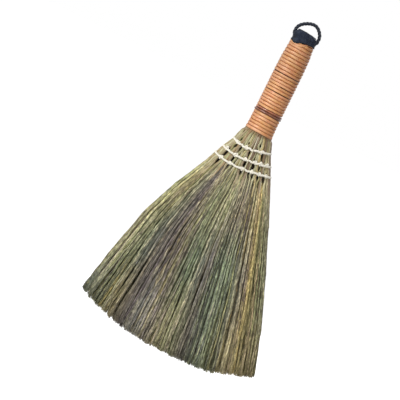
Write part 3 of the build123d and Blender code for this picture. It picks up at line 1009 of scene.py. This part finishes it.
def wind_strip(name, strip, turns, pitch, first_turn, hand=-1):
    """Carries the section round the handle, closes the ends, and returns turns at each point."""
    around = len(strip.data.vertices)
    steps = round(turns * steps_in_turn)
    modified(strip, "SCREW", angle=hand * math.tau * turns, screw_offset=pitch * turns,
             steps=steps, render_steps=steps)
    strip.rotation_euler.z = -math.tau * (0.25 + first_turn)
    bpy.ops.object.transform_apply(rotation=True)
    edit(strip)
    bpy.ops.mesh.select_all(action="DESELECT")
    bpy.ops.mesh.select_non_manifold()
    bpy.ops.mesh.edge_face_add()
    bpy.ops.mesh.select_all(action="SELECT")
    bpy.ops.mesh.normals_make_consistent(inside=False)
    bpy.ops.object.mode_set(mode="OBJECT")
    bpy.ops.object.shade_smooth()
    strip.name = name
    points = points_of(strip.data)
    return points, np.arange(len(points)) // around / steps * turns


def fit_strip(strip, points, wound, middle, width, proud, turns):
    """Moves a wound strip's points to the handle's outline and gives its face a crown."""
    rise = (points[:, 2] - middle) / (width / 2)
    reach = np.hypot(points[:, 0], points[:, 1])
    ends = np.minimum(1, np.minimum(wound, turns - wound) / 0.06)
    outer = unit((reach - grip_r - proud + strip_thickness) / strip_thickness)
    outward = grip_radius(middle) - grip_r + strip_crown * (1 - rise**2) * outer - strip_sink
    outward = outward - (1 - ends) * end_sink
    outward = outward + 0.05 * mm * np.sin(wound * 7.9 + 2) + 0.03 * mm * np.sin(wound * 19 + 1)
    points[:, :2] *= 1 + (outward / reach)[:, None]
    points[:, 2] += 0.07 * mm * np.sin(wound * 5.1) + 0.05 * mm * np.sin(wound * 12.7 + 1)
    place_points(strip.data, points)
    return rise


def finish_strip(strip, wound, rise, dark_edge_line, material):
    """Gives a strip what its material reads, and that material."""
    mark(strip, "wound", wound)
    mark(strip, "rise", rise)
    mark(strip, "dark_edge_line", dark_edge_line)
    strip.data.materials.append(material)


# %% [markdown]
# ## The strips of the handle
# Five strips follow one another up the handle on one screw line. The second is thinner, stained
# nearly black, and stands a little proud of the others. Here and there a dark line is drawn along
# an edge of a strip, in the groove between two turns, for part of a turn. The plan gives each
# strip its turns, pitch and width, and each line its edge (-1 below, 1 above), the turns where it
# starts and ends, and how dark it is.
# %% Strips from the mouth up
strip_plan = (
    ("lower_cane_winding", 6, 2.85 * mm, 2.9 * mm, ()),
    ("dark_cane_band", 1.7, 2.1 * mm, 2.12 * mm, ()),
    ("middle_cane_winding", 6.3, 2.73 * mm, 2.78 * mm, ((-1, -0.1, 1.1, 0.2), (1, 5.2, 6.4, 0.7))),
    ("upper_cane_winding", 6, 2.79 * mm, 2.84 * mm,
     ((-1, -0.1, 1.1, 0.5), (1, 1.2, 1.55, 0.8), (-1, 2.2, 2.55, 0.9), (1, 4.9, 6.1, 0.9))),
    ("top_cane_winding", 10.4, 3.07 * mm, 3.12 * mm, ((-1, -0.1, 1.1, 0.9),)),
)
band_proud = 0.5 * mm
cane_d = 2.3 * mm


def dark_lines(rise, wound, lines):
    """How dark each point of a strip is under the lines along its edges."""
    dark = np.zeros(len(rise))
    for edge, first, last, strength in lines:
        fade = unit(np.minimum(wound - first, last - wound) / 0.05)
        dark = np.maximum(dark, strength * fade * (rise * edge > 0.7))
    return dark


def build_winding():
    """The strips from the mouth up, round one screw line that starts at the back."""
    foot = mouth_z + cane_d / 2
    first_turn = 0.5
    for name, turns, pitch, width, lines in strip_plan:
        band = name == "dark_cane_band"
        proud = band_proud if band else 0.0
        strip = strip_section(width, grip_r + proud, foot)
        points, wound = wind_strip(f"{name}_cane", strip, turns, pitch, first_turn)
        rise = fit_strip(strip, points, wound, foot + pitch * wound, width, proud, turns)
        finish_strip(strip, wound + first_turn, rise, dark_lines(rise, wound, lines),
                     dark_cane if band else cane)
        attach(strip, "broom")
        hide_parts(name)
        foot += turns * pitch
        first_turn += turns
        print(f"{strip.name}: {len(strip.data.polygons)} faces")


build_winding()

# %% [markdown]
# ## The end of the strip
# The last strip doesn't stop under the cap: its end comes out at the left, lies on the last turn,
# and climbs back under the cap's hem at the front. It is wound the other way, with no pitch, and
# a smooth line through a few heights carries it up.
# %% The tail of the strip
tail_turns = 0.42
tail_start = 0.29
tail_width = 2.8 * mm
tail_places = (0, 0.04, 0.1, 0.18, 0.24, 0.29, 0.33, 0.38, 0.42)
tail_heights = (-18.2, -18.3, -18.7, -20.0, -20.3, -19.5, -18.0, -15.9, -14.4)
tail_pattern = 40.3


def strip_tail():
    """The strip's end: it lies on the last turn and climbs under the cap's hem."""
    tail = strip_section(tail_width, grip_r, 0)
    points, wound = wind_strip("cane_tail", tail, tail_turns, 0, tail_start, hand=1)
    climb = smoothed(wound, (-0.02, 0, 0.02), tail_places, tail_heights) * mm
    points[:, 2] += climb
    rise = fit_strip(tail, points, wound, climb, tail_width, 0.0, tail_turns)
    lifted = (0.45 - 0.6 * unit((wound - 0.32) / 0.06)) * mm / np.hypot(points[:, 0], points[:, 1])
    points[:, :2] *= 1 + lifted[:, None]
    place_points(tail.data, points)
    finish_strip(tail, wound + tail_pattern, rise * 0.85, np.zeros(len(points)), cane)
    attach(tail, "broom")
    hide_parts("top_cane_winding")
    print(f"{tail.name}: {len(tail.data.polygons)} faces")


strip_tail()


# %% [markdown]
# ## Twisted cord
# Twine and cord are spun from plies that wind round each other. A line down the middle is sampled,
# each ply gets its own screw line round it, and a round bevel gives it its thickness. The result
# is turned into a mesh, so that it can be measured, bent and exported as it is.
# %% Spin plies round a line
def frame_along(line, closed):
    """Directions across a line of points that turn with it as little as possible."""
    if closed:
        ahead = np.roll(line, -1, axis=0) - np.roll(line, 1, axis=0)
    else:
        ahead = np.gradient(line, axis=0)
    ahead = ahead / np.linalg.norm(ahead, axis=1)[:, None]
    aside = np.cross(ahead, (0.31, 0.87, 0.39))
    aside = aside / np.linalg.norm(aside, axis=1)[:, None]
    return aside, np.cross(ahead, aside)


def ply_mesh(line, radius, sides, closed):
    """A round tube through a line of points, as a mesh object."""
    curve = bpy.data.curves.new("ply", "CURVE")
    curve.dimensions = "3D"
    curve.bevel_depth = radius
    curve.bevel_resolution = max(0, (sides - 4) // 2)
    curve.use_fill_caps = not closed
    spline = curve.splines.new("POLY")
    spline.points.add(len(line) - 1)
    spline.points.foreach_set("co", np.column_stack([line, np.ones(len(line))]).ravel())
    spline.use_cyclic_u = closed
    ply = bpy.data.objects.new("ply", curve)
    bpy.context.scene.collection.objects.link(ply)
    only(ply)
    bpy.ops.object.convert(target="MESH")
    return bpy.context.object


def spun(name, line, diameter, plies, lay_length, material, closed=False, sides=8):
    """A twisted cord of several plies round a line of points."""
    ply_r = diameter * {2: 0.56, 3: 0.5}[plies] / 2
    along = np.concatenate([[0], np.cumsum(np.linalg.norm(np.diff(line, axis=0), axis=1))])
    turns = along[-1] / lay_length
    if closed:
        turns = round(turns)
    aside, upward = frame_along(line, closed)
    made = []
    for i in range(plies):
        angle = math.tau * (turns * along / along[-1] + i / plies)
        offset = aside * np.cos(angle)[:, None] + upward * np.sin(angle)[:, None]
        made.append(ply_mesh(line + offset * (diameter / 2 - ply_r), ply_r, sides, closed))
    cord = joined(made)
    cord.name = name
    cord.data.name = name
    cord.data.materials.clear()
    cord.data.materials.append(material)
    return cord


# %% [markdown]
# ## Twine of the rows
# Each row of cotton twine goes once round the neck, waves a little, and is pulled in where it ties
# two bundles together. There it is knotted. The knot is a true overhand knot, which has the
# outline of a trefoil, modelled once and copied to every tie.
# %% Stitch rows
twine_d = 2.1 * mm
twine_lay = 3.4 * mm
knot_size = 0.85 * mm
knot_twine_r = 0.6 * mm
tie_width = 0.035
tie_lifts = (0.0, 0.5 * mm, 0.0)
row_names = ("upper_stitch_row", "middle_stitch_row", "lower_stitch_row")
knot_shares = (
    (-0.72, -0.22, 0.56),
    (-0.82, -0.41, 0.0, 0.38, 0.62, 0.86),
    (-0.76, -0.4, 0.02, 0.36, 0.6, 0.88),
)


def row_line(row, count=260):
    """Points once round the neck along a row, pulled in at its ties."""
    angle = math.tau * np.arange(count) / count
    share = -np.cos(angle)
    side = np.where(np.sin(angle) < 0, 1.0, -1.0)
    pulled = np.minimum(1, sum(bell(share, tie, tie_width) for tie in tie_shares[row]))
    wave = 0.35 * mm * np.sin(share * 17 + row * 2) + 0.22 * mm * np.sin(share * 31 + row)
    depth = row_depth(row, share) + wave * (1 - share**2) - tie_lifts[row] * pulled
    x = across(share, depth)
    y = side * half_thickness(share, depth)
    outward = np.stack([x / np.abs(x).max(), y / np.abs(y).max()], axis=1)
    outward = outward / np.linalg.norm(outward, axis=1)[:, None]
    reach = twine_d * 0.4 + 0.35 * mm * (1 - pulled) - 0.5 * mm * share**8
    return np.stack([x + outward[:, 0] * reach, y + outward[:, 1] * reach, mouth_z - depth],
                    axis=1)


def trefoil(size, count=48):
    """A closed line of points in the shape of an overhand knot, facing the front."""
    turn = math.tau * np.arange(count) / count
    x = np.sin(turn) + 2 * np.sin(2 * turn)
    z = np.cos(turn) - 2 * np.cos(2 * turn)
    y = -np.sin(3 * turn)
    return np.stack([x * 1.15, y * 0.9, z * 0.85], axis=1) * size / 1.6


def knots_along(row, knot):
    """Copies of a knot at the ties of a row, in front and behind, each turned its own way."""
    knots = []
    for i, share in enumerate(knot_shares[row]):
        depth = row_depth(row, share) - tie_lifts[row]
        for side in (-1, 1):
            copy = knot.copy()
            copy.data = knot.data.copy()
            bpy.context.scene.collection.objects.link(copy)
            y = side * (float(half_thickness(share, depth)) + 0.45 * mm)
            copy.rotation_euler = (0.2 * side, 0.9 * i + row, 0.15 * i)
            copy.location = (float(across(share, depth)), y, mouth_z - depth)
            knots.append(copy)
    return knots


def build_rows():
    """The rows of twine, each with its knots."""
    knot = ply_mesh(trefoil(knot_size), knot_twine_r, 6, True)
    knot.data.materials.append(twine)
    for row, name in enumerate(row_names):
        line = spun(f"{name}_twine", row_line(row), twine_d, 2, twine_lay, twine, closed=True)
        twine_row = joined([line, *knots_along(row, knot)])
        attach(twine_row, "broom")
        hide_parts(name)
        print(f"{twine_row.name}: {len(twine_row.data.polygons)} faces")
    bpy.data.objects.remove(knot)


build_rows()

# %% [markdown]
# ## Cloth cap
# The cap is a round of cloth that was drawn over the end of the handle and tucked in below. It
# starts as a flat circle: insets give it rings on top, and its rim is extruded downwards for the
# side. A subdivision makes it smooth, and then the cloth is shaped the way a thumb would do it:
# puckers where it is gathered, a dip at each side where the loop comes out, and a hem that was
# never quite level.
# %% Cap blank
crown_r = 8.3 * mm
shoulder_r = 11.3 * mm
cap_sides = 40
cloth_thickness = 0.5 * mm
crown_rings = (1.2, 1.4, 1.6, 1.6)
side_steps = ((9.6, 0.35), (10.7, 1.1), (11.25, 2.2), (11.3, 4.0), (11.1, 6.2), (10.9, 8.4),
              (10.8, 10.9))


def cap_blank():
    """A smooth closed-top cap, before it is puckered."""
    bpy.ops.object.select_all(action="DESELECT")
    bpy.ops.mesh.primitive_circle_add(vertices=cap_sides, radius=crown_r, fill_type="NGON",
                                      location=(0, 0, crown_z))
    cap = only(bpy.context.object)
    bpy.ops.object.transform_apply(location=True)
    edit(cap)
    for ring in crown_rings:
        bpy.ops.mesh.inset(thickness=ring * mm)
    bpy.ops.mesh.select_all(action="DESELECT")
    bpy.ops.mesh.select_mode(type="EDGE")
    bpy.ops.mesh.select_non_manifold()
    reach = crown_r
    depth = 0.0
    for radius, down in side_steps:
        bpy.ops.mesh.extrude_edges_move(
            TRANSFORM_OT_translate={"value": (0, 0, -(down * mm - depth))})
        wider = radius * mm / reach
        bpy.ops.transform.resize(value=(wider, wider, 1))
        reach = radius * mm
        depth = down * mm
    bpy.ops.mesh.select_all(action="SELECT")
    bpy.ops.mesh.normals_make_consistent(inside=False)
    bpy.ops.object.mode_set(mode="OBJECT")
    modified(cap, "SUBSURF", levels=2, render_levels=2)
    return cap


# %% Shape the cap
hem_middle_z = -17.5 * mm
hem_turns = np.radians((-180, -152, -126, -108, -90, -67, -45, -20, 0, 60, 120, 180))
hem_lifts = (0.0, -0.4, -2.3, -0.6, 0.7, 1.2, 1.2, 0.8, 0.4, 0.5, 0.2, 0.0)


def shaped_cap(cap):
    """Puckers, side dips, sleeves round the loop's feet, and an uneven hem."""
    points = points_of(cap.data)
    reach = np.hypot(points[:, 0], points[:, 1])
    turn = np.arctan2(points[:, 1], points[:, 0])
    down = (crown_z - points[:, 2]) / (crown_z - hem_middle_z)
    sideways = bell(np.sin(turn), width=0.42)
    on_side = unit((reach - 8.4 * mm) / (1.6 * mm))

    hem = smoothed(turn, (-0.15, 0, 0.15), hem_turns, hem_lifts) * mm
    points[:, 2] += hem * unit(down) ** 2
    points[:, 2] -= 2.5 * mm * sideways * on_side * unit(1 - (down - 0.05) / 0.35)

    folds = np.sin(13 * turn + 2 * np.sin(2 * turn)) + 0.6 * np.sin(21 * turn + 1.3)
    gather = 0.2 * mm * folds * bell(down, 0.14, 0.16) * on_side
    slack = 0.16 * mm * np.sin(4 * turn + 14 * down) * unit(down * 2)
    hem_roll = 0.18 * mm * bell(down, 0.96, 0.07)
    sleeve = 0.75 * mm * bell(np.sin(turn), width=0.2) * bell(down, 0.33, 0.2)
    over_tail = 0.75 * mm * bell(turn, -2.15, 0.75) * unit((down - 0.7) / 0.25)
    outward = gather + slack * on_side + hem_roll + sleeve * on_side + over_tail
    points[:, 0] += np.cos(turn) * outward
    points[:, 1] += np.sin(turn) * outward

    radial = np.sin(11 * turn + 1.5 * np.sin(3 * turn))
    points[:, 2] += 0.16 * mm * radial * unit(reach / crown_r) * (reach < crown_r * 1.05)
    points[:, 2] -= 0.5 * mm * unit(1 - reach / crown_r) ** 1.5
    leaning = unit((points[:, 0] + 3 * mm) / (13 * mm)) ** 1.6
    points[:, 2] -= 1.9 * mm * leaning * unit(1 - down / 0.45)
    place_points(cap.data, points)

    # Painted shade for the cloth: the rim of the top, the hem and the two sides of the cap are
    # darkened.
    rim = bell(reach, 8.6 * mm, 0.9 * mm) * (down < 0.1)
    dark = 0.75 * rim + 0.9 * bell(down, 1.0, 0.08) + 0.5 * sideways * on_side
    mark(cap, "painted_edge_shade", unit(dark))


# %% Finish the cap
def cloth_uv(cap):
    """A UV map in metres: round the handle and down the cloth, with no seam in a face."""
    layer = cap.data.uv_layers.new(name="cloth")
    for face in cap.data.polygons:
        points = [cap.data.vertices[index].co for index in face.vertices]
        turns = [math.atan2(point.y, point.x) for point in points]
        for loop, point, turn in zip(face.loop_indices, points, turns):
            if turn < 0 and max(turns) - turn > math.pi:
                turn += math.tau
            reach = math.hypot(point.x, point.y)
            if reach < crown_r * 0.98:
                layer.data[loop].uv = (point.x, point.y)
            else:
                layer.data[loop].uv = (turn * shoulder_r, point.z + reach)


def build_cap():
    """The cap: shaped, given the cloth's thickness, mapped and finished."""
    cap = cap_blank()
    shaped_cap(cap)
    modified(cap, "SOLIDIFY", thickness=cloth_thickness, offset=-1)
    cloth_uv(cap)
    bpy.ops.object.shade_smooth()
    cap.name = "cloth_cap"
    cap.data.materials.append(cap_cloth)
    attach(cap, "broom")
    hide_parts("end_cap")
    print(f"{cap.name}: {len(cap.data.polygons)} faces")


build_cap()

# %% [markdown]
# ## Hanging loop
# The loop is one length of twisted cord whose two ends go into the cap. Its middle line is a
# smooth spline through a few given points: up out of one side of the cap, over in a round arch,
# and down into the other side.
# %% Loop
loop_d = 3.2 * mm
loop_lay = 8.6 * mm
loop_points = (
    (10.7, -12.2), (10.8, -10.2), (11.0, -7.2), (10.1, -4.2), (8.5, -1.9), (6.3, 0.3), (3.7, 1.65),
    (0.9, 1.75), (-2.3, 0.95), (-5.4, -0.5), (-8.1, -2.5), (-10.0, -4.8), (-10.9, -7.4),
    (-10.8, -10.2), (-10.7, -12.2),
)


def route_line(points):
    """Points read from a smooth spline with these control points."""
    curve = bpy.data.curves.new("route", "CURVE")
    curve.dimensions = "3D"
    curve.resolution_u = 12
    spline = curve.splines.new("NURBS")
    spline.points.add(len(points) - 1)
    for place, (x, z) in zip(spline.points, points):
        place.co = (x * mm, 0, z * mm, 1)
    spline.order_u = 3
    spline.use_endpoint_u = True
    route = bpy.data.objects.new("route", curve)
    line = points_of(bpy.data.meshes.new_from_object(route))
    bpy.data.objects.remove(route)
    return line


def build_loop():
    """The cord of the loop, whose two feet go into the cap."""
    line = route_line(loop_points)
    loop = spun("cord_loop", line, loop_d, 3, loop_lay, loop_cord, sides=10)
    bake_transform(loop)
    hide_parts("hanging_loop")


build_loop()

# %% [markdown]
# ## Light and floor
# A large soft lamp stands to the left of the camera, a weaker one to the right and one behind,
# and the world fills the shadows, as in a light tent. The background has to be white without any
# more light on the broom, so the world and the floor show white to the camera alone, and the
# floor keeps the soft shadow below the broom.
# %% Light
fill_strength = 0.33


def area_lamp(name, place, size, power):
    """A square lamp that looks at the middle of the broom."""
    lamp = bpy.data.lights.new(name, "AREA")
    lamp.size = size
    lamp.energy = power
    made = bpy.data.objects.new(name, lamp)
    bpy.context.scene.collection.objects.link(made)
    made.location = place
    made.rotation_mode = "QUATERNION"
    made.rotation_quaternion = (aim - Vector(place)).to_track_quat("-Z", "Y")


def light_tent():
    """A world that fills the shadows, and that the camera and reflections see as white."""
    world = bpy.data.worlds.new("light_tent")
    world.use_nodes = True
    tree = world.node_tree
    seen = node(tree, "ShaderNodeLightPath").outputs
    shown = computed(tree, "ADD", seen["Is Camera Ray"], seen["Is Glossy Ray"])
    shown = computed(tree, "ADD", shown, seen["Is Transmission Ray"], clamp=True)
    strength = computed(tree, "MULTIPLY_ADD", shown, 1 - fill_strength, fill_strength)
    background = tree.nodes["Background"]
    background.inputs["Color"].default_value = grey(1)
    tree.links.new(strength, background.inputs["Strength"])
    return world


area_lamp("key_lamp", (-0.85, -1.0, 0.5), 0.55, 16.5)
area_lamp("fill_lamp", (0.5, -1.3, 0.1), 0.8, 1.2)
area_lamp("back_lamp", (0.4, 1.1, 0.5), 0.8, 6.0)
bpy.context.scene.world = light_tent()
print("lamps and world are in place")

# %% Floor
floor_z = tips_z - 60 * mm
floor_size = 30
floor_glow = 0.72


def floor_paper():
    """Pale paper that glows to the camera alone, so that it shows white and keeps its shadow."""
    paper = bpy.data.materials.new("floor_paper")
    paper.use_nodes = True
    tree = paper.node_tree
    surface = tree.nodes["Principled BSDF"]
    surface.inputs["Roughness"].default_value = 0.9
    surface.inputs["Base Color"].default_value = grey(0.82)
    camera_ray = node(tree, "ShaderNodeLightPath").outputs["Is Camera Ray"]
    glow = node(tree, "ShaderNodeEmission",
                {"Strength": computed(tree, "MULTIPLY", camera_ray, floor_glow)})
    both = node(tree, "ShaderNodeAddShader", {0: surface.outputs[0], 1: glow.outputs[0]})
    tree.links.new(both.outputs[0], tree.nodes["Material Output"].inputs["Surface"])
    return paper


bpy.ops.object.select_all(action="DESELECT")
bpy.ops.mesh.primitive_grid_add(x_subdivisions=4, y_subdivisions=4, size=floor_size,
                                location=(0, 0, floor_z))
floor = bpy.context.object
floor.name = "floor"
floor.data.materials.append(floor_paper())
floor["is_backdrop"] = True
print(f"floor {(tips_z - floor_z) / mm:.0f} mm below the tips")


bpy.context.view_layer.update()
faces = sum(len(piece.data.polygons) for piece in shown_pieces())
print("faces in all:", faces)
